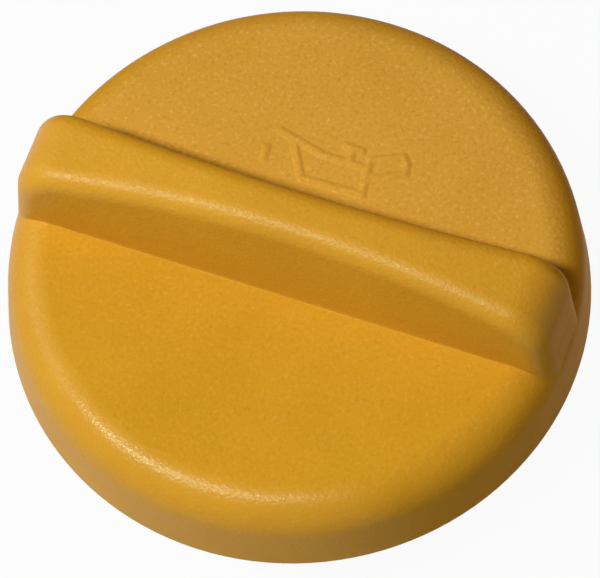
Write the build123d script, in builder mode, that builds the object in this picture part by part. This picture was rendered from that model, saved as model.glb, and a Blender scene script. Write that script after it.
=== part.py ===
"""Oil filler cap: a moulded bayonet cap with a waisted grip bar, and the flat rubber ring that seals it.

The cap stands upright, +Z up. The origin is on the cap's axis, in the plane where the ring lands on
the rim of the filler neck. The grip bar runs along X.
"""

import os
from math import cos, radians, sin, tan

from build123d import *

# Driving dimensions, in millimetres and degrees

# Disc and skirt
skirt_reach = 13.5  # from the stem's wall to the skirt's lower edge
skirt_height = 9.8  # from the top face to the skirt's lower edge
skirt_draft = 6.0  # lean of the skirt's outer wall
skirt_wall = 2.2
rim_radius = 4.5  # round between the top face and the skirt
plate_thickness = 2.6
well_bevel = 1.2  # bevel inside the skirt, under the plate
edge_break = 0.3  # bevel on the skirt's lower edge

# Grip bar
grip_base_width = 9.8  # straight along the whole bar, at the top face
grip_height = 10.5  # over the top face, at the middle of the bar
grip_waist = 4.45  # the bar's top is this much narrower than its base at the middle, before rounding
grip_flare = 0.55  # and this much wider at its ends
grip_crown_radius = 220.0  # the bar's top is a long arch
grip_edge_radius = 2.2  # round along the bar's top edges and end corners
grip_end_radius = 5.2  # round from the bar's top to its ends
grip_inset = 0.05  # from the corners of the bar's flat ends to the skirt's outer wall
grip_root_radius = 0.15  # round where the bar meets the top face

# Pocket that hollows the bar from below
pocket_side = 2.6  # from the pocket to the bar's side, at the top face
pocket_roof = 2.8  # from the pocket to the bar's top
pocket_tip_width = 1.6
pocket_tip_round = 0.6
pocket_end_gap = 0.8  # between the pocket's ends and the stem's bore
web_count = 2
web_thickness = 1.8
web_spacing = 10.0

# Stem and its bayonet lugs
stem_radius = 17.5
stem_wall = 2.4
stem_length = 18.0  # below the sealing plane
stem_lead_in = 1.0  # chamfer at the stem's foot
lug_count = 2
lug_reach = 3.0  # beyond the stem's wall
lug_sweep = 58.0
lug_height = 4.0
lug_rise = 4.0  # from the stem's foot to the lug's underside
lug_ramp = 6.0  # slope of the lug's upper face
lug_round = 0.8  # round on the lug's outer corners
stop_sweep = 9.0
stop_height = 4.2  # over the lug's upper face

# Seal and its seat
seal_thickness = 3.0
seal_width = 6.0
seal_side_gap = 0.4  # between the ring and the lip around it
lip_thickness = 1.3
lip_height = 1.8

# Gussets that tie the lip to the skirt
gusset_count = 12
gusset_thickness = 1.3
gusset_height = 2.6

overlap = 0.5  # features of the moulding run this far into each other

# Levels and radii that follow from the driving dimensions
seat_level = seal_thickness
top_level = seat_level + plate_thickness
crown_level = top_level + grip_height
skirt_level = top_level - skirt_height
foot_level = -stem_length
lug_level = foot_level + lug_rise
cap_radius = stem_radius + skirt_reach
stem_bore = stem_radius - stem_wall
lug_radius = stem_radius + lug_reach
seal_radius = stem_radius + seal_width
lip_bore = seal_radius + seal_side_gap
lip_radius = lip_bore + lip_thickness
skirt_lean = tan(radians(skirt_draft))


def wall_radius(level):
    """Outer radius of the drafted skirt wall at a height."""
    return cap_radius - (level - skirt_level) * skirt_lean


def well_radius(level):
    """Inner radius of the skirt at a height."""
    return wall_radius(level) - skirt_wall


grip_flat = grip_base_width / 2 - grip_edge_radius  # half the width of the bar's flat ends


def grip_end_place(level):
    """Where the bar's flat ends stand at a height: inside the round wall, and leaning with it."""
    return wall_radius(level) - grip_flat**2 / (2 * cap_radius) - grip_inset


grip_end = grip_end_place(top_level)  # the bar's half length, at the top face


def crown_drop(x):
    """How far the arch of the bar's top has fallen at a place along the bar."""
    return x**2 / (2 * grip_crown_radius)


def grip_half_width(x, height):
    """Half the bar's width at a place along it, at a height over the top face."""
    share = (x / grip_end) ** 2
    narrowing = grip_waist - (grip_waist + grip_flare) * share
    lean = narrowing / 2 / (grip_height - crown_drop(x))
    return grip_base_width / 2 - lean * height


# Grip bar: its sides are lofted along X, then its side view cuts the arched crown and the rounded ends
grip_sink = rim_radius - grip_inset  # how far the bar's foot runs down into the disc
grip_foot = top_level - grip_sink
grip_over = grip_height + overlap
grip_run = cap_radius + overlap
grip_end_level = crown_level - crown_drop(grip_end)

with BuildPart() as grip:
    for x in (-grip_run, -grip_run / 2, 0, grip_run / 2, grip_run):
        with BuildSketch(Plane.YZ.offset(x)):
            low = grip_half_width(x, -grip_sink)
            high = grip_half_width(x, grip_over)
            with BuildLine():
                Polyline(
                    (-low, grip_foot),
                    (low, grip_foot),
                    (high, top_level + grip_over),
                    (-high, top_level + grip_over),
                    close=True,
                )
            make_face()
    loft()
    with BuildSketch(Plane.XZ) as side_view:
        with BuildLine():
            high_end = grip_end_place(grip_end_level)
            low_end = grip_end_place(grip_foot)
            arch = ThreePointArc((-high_end, grip_end_level), (0, crown_level), (high_end, grip_end_level))
            Polyline(arch @ 1, (low_end, grip_foot), (-low_end, grip_foot), arch @ 0)
        make_face()
        fillet(side_view.vertices().group_by(Axis.Y)[-1], grip_end_radius)
    extrude(amount=grip_base_width, both=True, mode=Mode.INTERSECT)
    sides = grip.faces().filter_by(lambda face: abs(face.normal_at().Y) > abs(face.normal_at().Z))
    foot = grip.faces().sort_by(Axis.Z)[0]
    fillet(sides.edges() - foot.edges(), grip_edge_radius)

# Pocket: it opens inside the stem, and webs are left standing across it
pocket_mouth = grip_base_width / 2 - pocket_side
pocket_top = crown_level - pocket_roof

with BuildPart() as pocket:
    with BuildSketch(Plane.YZ) as pocket_profile:
        with BuildLine():
            Polyline(
                (-pocket_mouth, seat_level - overlap),
                (pocket_mouth, seat_level - overlap),
                (pocket_mouth, top_level),
                (pocket_tip_width / 2, pocket_top),
                (-pocket_tip_width / 2, pocket_top),
                (-pocket_mouth, top_level),
                close=True,
            )
        make_face()
        fillet(pocket_profile.vertices().group_by(Axis.Y)[-1], pocket_tip_round)
    extrude(amount=stem_bore - pocket_end_gap, both=True)
    with Locations((0, 0, pocket_top)), GridLocations(web_spacing, 0, web_count, 1):
        Box(web_thickness, grip_base_width, 2 * (pocket_top - top_level), mode=Mode.SUBTRACT)

# Bayonet lug, centred on +X: its upper face climbs against the closing turn to a stop at its tail
lug_root = stem_radius - overlap
lug_tail = lug_radius * sin(radians(lug_sweep / 2))

with BuildPart() as lug:
    with BuildSketch(Plane.XY.offset(lug_level)):
        with BuildLine():
            tip = CenterArc((0, 0), lug_radius, -lug_sweep / 2, lug_sweep)
            root = CenterArc((0, 0), lug_root, -lug_sweep / 2, lug_sweep)
            Line(tip @ 0, root @ 0)
            Line(tip @ 1, root @ 1)
        make_face()
    extrude(amount=lug_height)
    split(
        bisect_by=Plane(
            origin=(0, lug_tail, lug_level + lug_height),
            x_dir=(1, 0, 0),
            z_dir=(0, -sin(radians(lug_ramp)), cos(radians(lug_ramp))),
        ),
        keep=Keep.BOTTOM,
    )
    with BuildSketch(Plane.XY.offset(lug_level)):
        with BuildLine():
            tip = CenterArc((0, 0), lug_radius, lug_sweep / 2, -stop_sweep)
            root = CenterArc((0, 0), lug_root, lug_sweep / 2, -stop_sweep)
            Line(tip @ 0, root @ 0)
            Line(tip @ 1, root @ 1)
        make_face()
    extrude(amount=lug_height + stop_height)
    uprights = lug.edges().filter_by(Axis.Z)
    corners = uprights.filter_by(lambda edge: edge.center().X**2 + edge.center().Y**2 > stem_radius**2)
    fillet(corners, lug_round)

# Gusset, centred on +X between the lip and the skirt
with BuildPart() as gusset:
    with BuildSketch(Plane.XZ):
        with BuildLine():
            Polyline(
                (lip_radius - overlap, seat_level + overlap),
                (well_radius(seat_level) + overlap, seat_level + overlap),
                (well_radius(seat_level) + overlap, seat_level - gusset_height),
                (lip_radius - overlap, seat_level - lip_height),
                close=True,
            )
        make_face()
    extrude(amount=gusset_thickness / 2, both=True)

# Cap body: disc, skirt, grip bar, seal seat, stem and lugs, all one moulding
with BuildPart() as cap_body:
    with BuildSketch(Plane.YZ) as disc_profile:
        with BuildLine():
            Polyline(
                (0, skirt_level),
                (cap_radius, skirt_level),
                (wall_radius(top_level), top_level),
                (0, top_level),
                close=True,
            )
        make_face()
        fillet(disc_profile.vertices().group_by(Axis.Y)[-1].sort_by(Axis.X)[-1], rim_radius)
    revolve(axis=Axis.Z)
    add(grip.part)
    fillet(cap_body.edges(Select.NEW), grip_root_radius)
    with BuildSketch(Plane.YZ) as well_profile:
        with BuildLine():
            Polyline(
                (0, skirt_level),
                (well_radius(skirt_level), skirt_level),
                (well_radius(seat_level), seat_level),
                (0, seat_level),
                close=True,
            )
        make_face()
        chamfer(well_profile.vertices().group_by(Axis.Y)[-1].sort_by(Axis.X)[-1], well_bevel)
    revolve(axis=Axis.Z, mode=Mode.SUBTRACT)
    chamfer(cap_body.edges().filter_by_position(Axis.Z, skirt_level, skirt_level), edge_break)
    with BuildSketch(Plane.XY.offset(seat_level)):
        Circle(lip_radius)
        Circle(lip_bore, mode=Mode.SUBTRACT)
    extrude(amount=-lip_height)
    with PolarLocations(0, gusset_count, start_angle=180 / gusset_count):
        add(gusset.part)
    with BuildSketch(Plane.XY.offset(seat_level)):
        Circle(stem_radius)
    extrude(amount=foot_level - seat_level)
    chamfer(cap_body.edges().sort_by(Axis.Z)[0], stem_lead_in)
    with BuildSketch(Plane.XY.offset(foot_level)):
        Circle(stem_bore)
    extrude(amount=seat_level - foot_level, mode=Mode.SUBTRACT)
    add(pocket.part, mode=Mode.SUBTRACT)
    with PolarLocations(0, lug_count):
        add(lug.part)

# Seal ring: it grips the stem and lies flat on its seat under the plate
with BuildPart() as seal_ring:
    with BuildSketch(Plane.XY):
        Circle(seal_radius)
        Circle(stem_radius, mode=Mode.SUBTRACT)
    extrude(amount=seal_thickness)

cap_body.part.label = "cap_body"
seal_ring.part.label = "seal_ring"
os.makedirs("parts", exist_ok=True)
export_step(cap_body.part, "parts/cap_body.step")
export_step(seal_ring.part, "parts/seal_ring.step")
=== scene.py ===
"""Looks of the oil filler cap: grained yellow plastic, a raised oil-can sign and a black rubber ring."""

from math import cos, radians, sin
from types import SimpleNamespace

import bmesh
import bpy
import numpy as np
from mathutils import Matrix, Quaternion, Vector


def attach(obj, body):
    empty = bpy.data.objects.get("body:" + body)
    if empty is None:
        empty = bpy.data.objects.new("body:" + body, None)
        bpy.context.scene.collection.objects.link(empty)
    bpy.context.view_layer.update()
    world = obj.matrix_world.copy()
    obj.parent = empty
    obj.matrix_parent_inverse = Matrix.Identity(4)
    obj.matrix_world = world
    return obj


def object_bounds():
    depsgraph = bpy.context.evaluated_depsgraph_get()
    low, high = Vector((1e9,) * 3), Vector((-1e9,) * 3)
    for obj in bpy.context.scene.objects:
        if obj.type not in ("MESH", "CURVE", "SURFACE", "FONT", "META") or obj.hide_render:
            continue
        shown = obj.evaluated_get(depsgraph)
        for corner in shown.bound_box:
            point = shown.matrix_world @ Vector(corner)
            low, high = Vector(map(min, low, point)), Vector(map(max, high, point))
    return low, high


MM = 0.001

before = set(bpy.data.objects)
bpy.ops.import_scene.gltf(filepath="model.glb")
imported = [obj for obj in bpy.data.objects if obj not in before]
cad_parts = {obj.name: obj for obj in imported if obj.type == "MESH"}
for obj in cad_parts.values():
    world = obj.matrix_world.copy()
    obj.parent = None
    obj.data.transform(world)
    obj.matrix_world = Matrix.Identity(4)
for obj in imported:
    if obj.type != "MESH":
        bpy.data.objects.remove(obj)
size_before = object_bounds()
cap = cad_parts["cap_body"]
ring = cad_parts["seal_ring"]

# Places on the cap that its finish depends on, in millimetres
TOP = 5.6  # level of the top face
BAR_SIDE = 5.1  # the bar's foot and its round lie within this distance of the middle line
SIDE_FADE = 0.2  # the foot's finish fades out over this width
ROOT = 0.15  # height of the round at the bar's foot
ROOT_FADE = 0.05  # the foot's finish fades out over this height
TOP_FADE = 0.02  # and sets in over this one, just over the top face
CREST_FROM = 10.5  # the finish of the bar's upper half starts at this level
CREST_FULL = 14.5  # and is complete at this one
REAR_FROM = 3.0  # the finish behind the bar starts this far behind the middle line
REAR_FULL = 8.0  # and is complete at this distance
EDGE = 0.5  # the shading softens edges over this radius
GRAIN_DEPTH = 0.12  # depth of the plastic's relief

# Colours of the plastic: in front of the bar and behind it, its specks and pits, and its highlights. Behind
# the bar the flat faces are paler and bluer: a painted sheen. The specks are partly painted glints
FRONT_DARK = (0.61, 0.294, 0.016, 1)
FRONT_LIGHT = (0.67, 0.327, 0.019, 1)
# painted sheen: the flat behind the bar is paler and bluer than the front
REAR_DARK_PAINTED_SHEEN = (0.62, 0.314, 0.032, 1)
REAR_LIGHT_PAINTED_SHEEN = (0.67, 0.342, 0.041, 1)
# pale specks: partly the plastic's grain, partly painted glints
SPECK_AND_GLINT = (0.80, 0.47, 0.12, 1)
# dark pits of the grain, also used for the painted shade at the bar's foot
PIT_AND_FOOT_SHADE = (0.42, 0.18, 0.005, 1)
SHINE = (0.88, 1.0, 0.72, 1)

# Strength of the plastic's specks, pits and relief, in front of the bar and behind it. The stronger specks
# behind the bar are partly painted glints
SPECKS_AND_GLINTS = (0.2, 0.48)
PITS = (0.21, 0.34)
RELIEF = (0.38, 0.42)
STEEP_SHARE = 0.3  # share of the specks and pits that is left on steep faces
# painted shade: the bar's foot is darkened a little towards the pits' colour
ROOT_PAINTED_SHADE = 0.15  # share of the pits' colour at the bar's foot

# How strongly the plastic shines, set from the photograph's highlights
WALL_GLOSS = 0.31  # walls that look to the front left
RIM_GLOSS = 0.235  # the rim's round where it looks to the front left
BAR_GLOSS = 0.34  # the bar's upper front
FLAT_GLOSS = 0.12  # the flat behind the bar
WALL_MATT = 0.02  # all other walls
TOP_MATT = 0.005  # all other faces that look up
FRONT_LEFT = Vector((-0.75, -0.66))  # the way to the front left

# Roughness of the plastic
GRAIN_ROUGH = (0.36, 0.22)  # in the grain's low spots and on its high ones
CLOUD_ROUGH = (-0.02, 0.02)  # what the clouds add to it
CREST_ROUGH = 0.13  # what the bar's upper half adds to it
WALL_ROUGH = 0.5  # the walls have this one

# Colours of the rubber
RUBBER_DARK = (0.012, 0.012, 0.013, 1)
RUBBER_LIGHT = (0.026, 0.025, 0.025, 1)
RUBBER_DUST = (0.06, 0.06, 0.06, 1)

# The floor and the room
WHITE = (1, 1, 1, 1)
PAPER_GREY = (0.54, 0.56)  # darkest and lightest grey of the paper
PAPER_WHITE = 0.95  # share of plain white in the paper as it is seen
FLOOR_SIZE = 6.0  # in metres
FLOOR_GAP = 0.02  # the cap's stem stands this far over the floor, in millimetres
ROOM_LIGHT = 0.01  # strength of the white room as a light


class Nodes:
    """A small helper that adds shader nodes and links them."""

    def __init__(self, tree):
        self.tree = tree
        tree.nodes.clear()

    def add(self, kind, inputs=None, **settings):
        node = self.tree.nodes.new(kind)
        for name, value in settings.items():
            setattr(node, name, value)
        for name, value in (inputs or {}).items():
            if isinstance(value, bpy.types.NodeSocket):
                self.tree.links.new(value, node.inputs[name])
            else:
                node.inputs[name].default_value = value
        return node

    def math(self, operation, a, b=0.0):
        return self.add("ShaderNodeMath", {0: a, 1: b}, operation=operation).outputs[0]

    def span(self, value, low, high, to_low=0.0, to_high=1.0):
        """Maps a value from one range to another and holds it at the ends."""
        inputs = {"Value": value, "From Min": low, "From Max": high, "To Min": to_low, "To Max": to_high}
        return self.add("ShaderNodeMapRange", inputs).outputs[0]

    def spread(self, noise, to_low=0.0, to_high=1.0):
        """Maps the range that holds most of a noise's values to another."""
        return self.span(noise, 0.3, 0.7, to_low, to_high)

    def blend(self, share, a, b):
        """A number between two others."""
        return self.span(share, 0.0, 1.0, a, b)

    def mix(self, share, a, b):
        """A colour between two others. The mix node takes colours in sockets 6 and 7 and gives one in 2."""
        return self.add("ShaderNodeMix", {0: share, 6: a, 7: b}, data_type="RGBA").outputs[2]

    def noise(self, place, scale, detail, rough=0.5):
        inputs = {"Vector": place, "Scale": scale, "Detail": detail, "Roughness": rough}
        return self.add("ShaderNodeTexNoise", inputs).outputs[0]

    def shown(self):
        """1 for rays that show the background: from the camera, off a mirror or through glass."""
        path = self.add("ShaderNodeLightPath")
        mirrored = self.math("MAXIMUM", path.outputs["Is Glossy Ray"], path.outputs["Is Transmission Ray"])
        return self.math("MAXIMUM", path.outputs["Is Camera Ray"], mirrored)

    def coat(self, inputs):
        """Ends the tree in one shader with these inputs."""
        shader = self.add("ShaderNodeBsdfPrincipled", inputs)
        self.add("ShaderNodeOutputMaterial", {"Surface": shader.outputs[0]})


def new_material(name):
    material = bpy.data.materials.new(name)
    material.use_nodes = True
    return material, Nodes(material.node_tree)


def dress(piece, material):
    piece.data.materials.clear()
    piece.data.materials.append(material)


def cap_zones(n):
    """A point's place and facing on the cap, and masks from 0 to 1 that tell the cap's faces apart."""
    spot = n.add("ShaderNodeTexCoord")
    place = spot.outputs["Object"]
    _, y, z = n.add("ShaderNodeSeparateXYZ", {0: place}).outputs
    to_right, to_rear, to_top = n.add("ShaderNodeSeparateXYZ", {0: spot.outputs["Normal"]}).outputs
    leftward = n.math("MULTIPLY", to_right, FRONT_LEFT.x)
    frontward = n.math("MULTIPLY", to_rear, FRONT_LEFT.y)
    near_bar = n.span(n.math("ABSOLUTE", y), BAR_SIDE * MM, (BAR_SIDE + SIDE_FADE) * MM, 1.0, 0.0)
    over_top = n.span(z, TOP * MM, (TOP + TOP_FADE) * MM, 0.0, near_bar)
    root_level = TOP + ROOT
    return SimpleNamespace(
        place=place,
        to_rear=to_rear,
        to_top=to_top,
        to_front_left=n.math("ADD", leftward, frontward),
        rear=n.span(y, REAR_FROM * MM, REAR_FULL * MM),  # behind the bar
        crest=n.span(z, CREST_FROM * MM, CREST_FULL * MM),  # the bar's upper half
        # the bar's foot: painted shade darkens it there, and its gloss is off
        root=n.span(z, root_level * MM, (root_level + ROOT_FADE) * MM, over_top, 0.0),  # the bar's foot
        upper=n.span(to_top, 0.15, 0.55),  # faces that look up, and not the walls
        level=n.span(to_top, 0.75, 0.97),  # faces that lie flat
    )


def plastic_tone(n, zones, cloud, grain):
    """Clouded yellow with pale specks and dark pits, stronger on flat faces and behind the bar. The flat
    behind the bar is paler as a painted sheen, the specks are partly painted glints, and the bar's foot is
    darkened as painted shade.
    """
    # painted sheen on the flat faces behind the bar
    painted_sheen = n.math("MULTIPLY", zones.rear, zones.level)
    dark = n.mix(painted_sheen, FRONT_DARK, REAR_DARK_PAINTED_SHEEN)
    light = n.mix(painted_sheen, FRONT_LIGHT, REAR_LIGHT_PAINTED_SHEEN)
    tone = n.mix(n.spread(cloud), dark, light)
    fleck = n.blend(zones.level, STEEP_SHARE, 1.0)
    # pale specks, partly grain and partly painted glints, strongest behind the bar
    speck_and_glint = n.span(grain, 0.58, 0.74, 0.0, n.blend(zones.rear, *SPECKS_AND_GLINTS))
    tone = n.mix(n.math("MULTIPLY", speck_and_glint, fleck), tone, SPECK_AND_GLINT)
    pit = n.span(grain, 0.24, 0.44, n.blend(zones.rear, *PITS), 0.0)
    tone = n.mix(n.math("MULTIPLY", pit, fleck), tone, PIT_AND_FOOT_SHADE)
    # painted shade at the bar's foot
    return n.mix(n.math("MULTIPLY", zones.root, ROOT_PAINTED_SHADE), tone, PIT_AND_FOOT_SHADE)


def plastic_gloss(n, zones):
    """The plastic's shine: most on faces to the front left and on the bar's upper front."""
    wall = n.span(zones.to_front_left, -0.1, 0.75, WALL_MATT, n.blend(zones.rear, WALL_GLOSS, WALL_MATT))
    rim = n.span(zones.to_front_left, 0.0, 0.1, TOP_MATT, n.blend(zones.rear, RIM_GLOSS, TOP_MATT))
    flat = n.span(zones.to_top, 0.92, 0.995, 0.0, n.blend(zones.rear, 0.0, FLAT_GLOSS))
    bar = n.span(zones.to_rear, -0.1, 0.3, BAR_GLOSS, TOP_MATT)
    facing_up = n.blend(zones.crest, n.math("MAXIMUM", rim, flat), bar)
    return n.blend(zones.root, n.blend(zones.upper, wall, facing_up), 0.0)


def plastic():
    """Moulded plastic with a fine eroded grain. Its edges are softened in the shading."""
    material, n = new_material("cap_plastic")
    zones = cap_zones(n)
    cloud = n.noise(zones.place, scale=90.0, detail=3.0, rough=0.55)
    grain = n.noise(zones.place, scale=2300.0, detail=1.0)
    dimples = n.noise(zones.place, scale=4200.0, detail=1.0)
    rough = n.math("ADD", n.spread(grain, *GRAIN_ROUGH), n.spread(cloud, *CLOUD_ROUGH))
    rough = n.math("ADD", rough, n.math("MULTIPLY", zones.crest, CREST_ROUGH))
    height = n.math("ADD", grain, n.math("MULTIPLY", dimples, n.blend(zones.crest, 0.3, 0.6)))
    strength = n.math("ADD", n.blend(zones.rear, *RELIEF), n.math("MULTIPLY", zones.crest, 0.07))
    soft = n.add("ShaderNodeBevel", {"Radius": EDGE * MM}, samples=8).outputs[0]
    relief = {"Strength": strength, "Distance": GRAIN_DEPTH * MM, "Height": height, "Normal": soft}
    n.coat(
        {
            "Base Color": plastic_tone(n, zones, cloud, grain),
            "Roughness": n.blend(zones.upper, WALL_ROUGH, rough),
            "IOR": 1.5,
            "Specular IOR Level": plastic_gloss(n, zones),
            "Specular Tint": SHINE,
            "Normal": n.add("ShaderNodeBump", relief).outputs[0],
        }
    )
    return material


def rubber():
    """Black rubber with a matt, finely speckled skin."""
    material, n = new_material("ring_rubber")
    place = n.add("ShaderNodeTexCoord").outputs["Object"]
    cloud = n.noise(place, scale=160.0, detail=4.0, rough=0.6)
    grain = n.noise(place, scale=4200.0, detail=2.0, rough=0.6)
    tone = n.mix(n.spread(cloud), RUBBER_DARK, RUBBER_LIGHT)
    relief = {"Strength": 0.25, "Distance": 0.1 * MM, "Height": grain}
    n.coat(
        {
            "Base Color": n.mix(n.span(grain, 0.6, 0.75, 0.0, 0.3), tone, RUBBER_DUST),
            "Roughness": n.spread(grain, 0.62, 0.8),
            "IOR": 1.45,
            "Normal": n.add("ShaderNodeBump", relief).outputs[0],
        }
    )
    return material


def paper():
    """A pale sheet, nearly white as it is seen, that keeps the soft shadow and is clear from below."""
    material, n = new_material("floor_paper")
    place = n.add("ShaderNodeTexCoord").outputs["Object"]
    fibre = n.spread(n.noise(place, scale=260.0, detail=3.0, rough=0.6), *PAPER_GREY)
    grey = n.add("ShaderNodeCombineColor", {0: fibre, 1: fibre, 2: fibre}).outputs[0]
    matt = n.add("ShaderNodeBsdfDiffuse", {"Color": grey}).outputs[0]
    white = n.add("ShaderNodeEmission", {"Color": WHITE, "Strength": 1.0}).outputs[0]
    share = n.math("MULTIPLY", n.shown(), PAPER_WHITE)
    sheet = n.add("ShaderNodeMixShader", {0: share, 1: matt, 2: white}).outputs[0]
    below = n.add("ShaderNodeNewGeometry").outputs["Backfacing"]
    clear = n.add("ShaderNodeBsdfTransparent").outputs[0]
    seen = n.add("ShaderNodeMixShader", {0: below, 1: sheet, 2: clear}).outputs[0]
    n.add("ShaderNodeOutputMaterial", {"Surface": seen})
    return material


# The oil-can sign: raised strokes on the rear half of the top face, in millimetres
STROKE = 0.8  # width of the strokes
RAISE = 0.18  # their height
SLOPE = 0.55  # width of their soft flanks
FOOT = 0.2  # the flanks start this far outside the strokes
SINK = 0.004  # and this far under the top face
STEP = 0.08  # spacing of the mesh
BORDER = 2 * STEP  # width of the sunk strip around the flanks
BURY = 4 * RAISE  # the mesh reaches this far under the top face
CAN = [(-4.65, 12.67), (-2.36, 8.52), (4.43, 8.67), (3.98, 11.76), (-1.0, 11.76), (-6.2, 13.06)]
HANDLE = [(4.2, 10.45), (7.95, 12.36), (7.75, 13.5), (7.15, 14.18), (3.92, 12.77), (3.98, 11.76)]
LID_STEM = [(1.92, 11.76), (1.78, 13.5)]
LID = [(0.9, 13.57), (2.72, 13.49)]
DROP = [(-7.0, 10.75), (-6.85, 9.5)]
LINES = [CAN, HANDLE, LID_STEM, LID, DROP]  # the middles of the strokes


def sign_heights():
    """A grid over the sign: its points, their heights over the top face, and which of them belong to it."""
    starts = np.array([spot for line in LINES for spot in line[:-1]])
    ends = np.array([spot for line in LINES for spot in line[1:]])
    runs = ends - starts
    margin = STROKE / 2 + FOOT + 2 * BORDER
    low = np.minimum(starts, ends).min(axis=0) - margin
    high = np.maximum(starts, ends).max(axis=0) + margin
    columns, rows = np.ceil((high - low) / STEP).astype(int)
    x, y = np.meshgrid(low[0] + STEP * np.arange(columns), low[1] + STEP * np.arange(rows))
    spots = np.stack([x, y], axis=2)[:, :, None]
    along = (((spots - starts) * runs).sum(axis=3) / (runs**2).sum(axis=1)).clip(0, 1)
    reach = np.linalg.norm(spots - starts - along[..., None] * runs, axis=3).min(axis=2)
    depth = STROKE / 2 - reach
    climb = ((depth + FOOT) / SLOPE).clip(0, 1)
    height = RAISE * climb**2 * (3 - 2 * climb) - SINK
    return x, y, height, depth > -FOOT - BORDER


def oil_can():
    """The sign as one closed mesh: low, soft ridges that rise out of the top face."""
    x, y, height, kept = sign_heights()
    rows, columns = kept.shape
    net = bmesh.new()
    points = zip(x.ravel() * MM, y.ravel() * MM, (TOP + height.ravel()) * MM)
    corners = [net.verts.new(point) for point in points]
    for row in range(rows - 1):
        for column in range(columns - 1):
            if kept[row : row + 2, column : column + 2].all():
                first = row * columns + column
                places = (first, first + 1, first + columns + 1, first + columns)
                net.faces.new([corners[place] for place in places]).smooth = True
    bmesh.ops.delete(net, geom=[v for v in net.verts if not v.link_faces], context="VERTS")
    base = bmesh.ops.extrude_face_region(net, geom=net.faces[:], use_keep_orig=True)["geom"]
    for corner in base:
        if isinstance(corner, bmesh.types.BMVert):
            corner.co.z = (TOP - BURY) * MM
    bmesh.ops.recalc_face_normals(net, faces=net.faces[:])
    mesh = bpy.data.meshes.new("oil_can_sign")
    net.to_mesh(mesh)
    net.free()
    piece = bpy.data.objects.new("oil_can_sign", mesh)
    bpy.context.collection.objects.link(piece)
    return piece


def way_to(height, around):
    """The direction at an angle over the floor and an angle around from the bar's right end, in degrees."""
    height, around = radians(height), radians(around)
    return Vector((cos(height) * cos(around), cos(height) * sin(around), sin(height)))


def placed(side, back, place):
    """The matrix of a lamp or camera with its right side, its back and its place."""
    turn = Matrix((side, back.cross(side), back)).transposed().to_4x4()
    return Matrix.Translation(place) @ turn


def softbox(name, height, around, distance, length, width, power, colour=WHITE[:3]):
    """A round or long lamp that shines at the origin. Its length lies along the bar."""
    light = bpy.data.lights.new(name, "AREA")
    light.shape = "ELLIPSE"
    light.size = length
    light.size_y = width
    light.energy = power
    light.color = colour
    lamp = bpy.data.objects.new(name, light)
    way = way_to(height, around)
    along = (Vector((1, 0, 0)) - way * way.x).normalized()
    lamp.matrix_world = placed(along, way, way * distance)
    bpy.context.collection.objects.link(lamp)


# The cap, its ring and its sign
body_finish = plastic()
dress(cap, body_finish)
dress(ring, rubber())

sign = oil_can()
dress(sign, body_finish)
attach(sign, "root")

# Floor: just under the stem's foot
floor_level = size_before[0][2] - FLOOR_GAP * MM
bpy.ops.mesh.primitive_plane_add(size=FLOOR_SIZE, location=(0, 0, floor_level))
floor = bpy.context.object
floor.name = "floor"
dress(floor, paper())

# Room: white where it is seen, and nearly dark as a light
world = bpy.data.worlds.new("studio")
bpy.context.scene.world = world
world.use_nodes = True
studio = Nodes(world.node_tree)
glow = studio.blend(studio.shown(), ROOM_LIGHT, 1.0)
room = studio.add("ShaderNodeBackground", {"Color": WHITE, "Strength": glow})
studio.add("ShaderNodeOutputWorld", {"Surface": room.outputs[0]})

# Lamps: a long key and a small one from the front left, a broad one from the left, and warm fills.
# The first two numbers are the angles over the floor and around. Sizes are in metres, powers in watts
KEY_DISTANCE = 0.4
KEY_WIDTH = 0.045
FILL_DISTANCE = 0.7
FILL_SIZE = 0.4
WARM = (1.0, 0.62, 0.26)
softbox("key", 65.2, 249.0, KEY_DISTANCE, length=0.25, width=KEY_WIDTH, power=0.87)
softbox("key_left", 54.3, 216.3, KEY_DISTANCE, length=0.05, width=KEY_WIDTH, power=0.56)
softbox("left", 38.0, 180.0, FILL_DISTANCE, FILL_SIZE, FILL_SIZE, power=0.9)
softbox("right", 20.0, 335.0, FILL_DISTANCE, FILL_SIZE, FILL_SIZE, power=0.06, colour=WARM)
softbox("rear_left", 10.0, 120.0, FILL_DISTANCE, FILL_SIZE, FILL_SIZE, power=0.43, colour=WARM)
softbox("rear_right", 14.0, 45.0, FILL_DISTANCE, FILL_SIZE, FILL_SIZE, power=0.6, colour=WARM)

# Camera: the photograph's place, found from the outlines of the disc, the rim and the bar
AIM = Vector((2.04, -3.62, TOP))  # the picture's middle falls here, in millimetres
DISTANCE = 498.2  # from there to the camera, in millimetres
LOOK_DOWN = 64.93  # degrees
LOOK_FROM = 297.31  # degrees around from the bar's right end
ROLL = -7.91  # degrees
LENS = 287.55  # millimetres
SENSOR = 36.0  # width, in millimetres
NEAREST = 10.0  # what is nearer to the camera isn't seen, in millimetres

back = way_to(LOOK_DOWN, LOOK_FROM)
side = Quaternion(back, radians(ROLL)) @ Vector((-back.y, back.x, 0)).normalized()
camera_data = bpy.data.cameras.new("camera")
camera_data.sensor_fit = "HORIZONTAL"
camera_data.sensor_width = SENSOR
camera_data.lens = LENS
camera_data.clip_start = NEAREST * MM
camera = bpy.data.objects.new("camera", camera_data)
camera.matrix_world = placed(side, back, (AIM + back * DISTANCE) * MM)
bpy.context.collection.objects.link(camera)
bpy.context.scene.camera = camera
bpy.context.scene.view_settings.view_transform = "Standard"
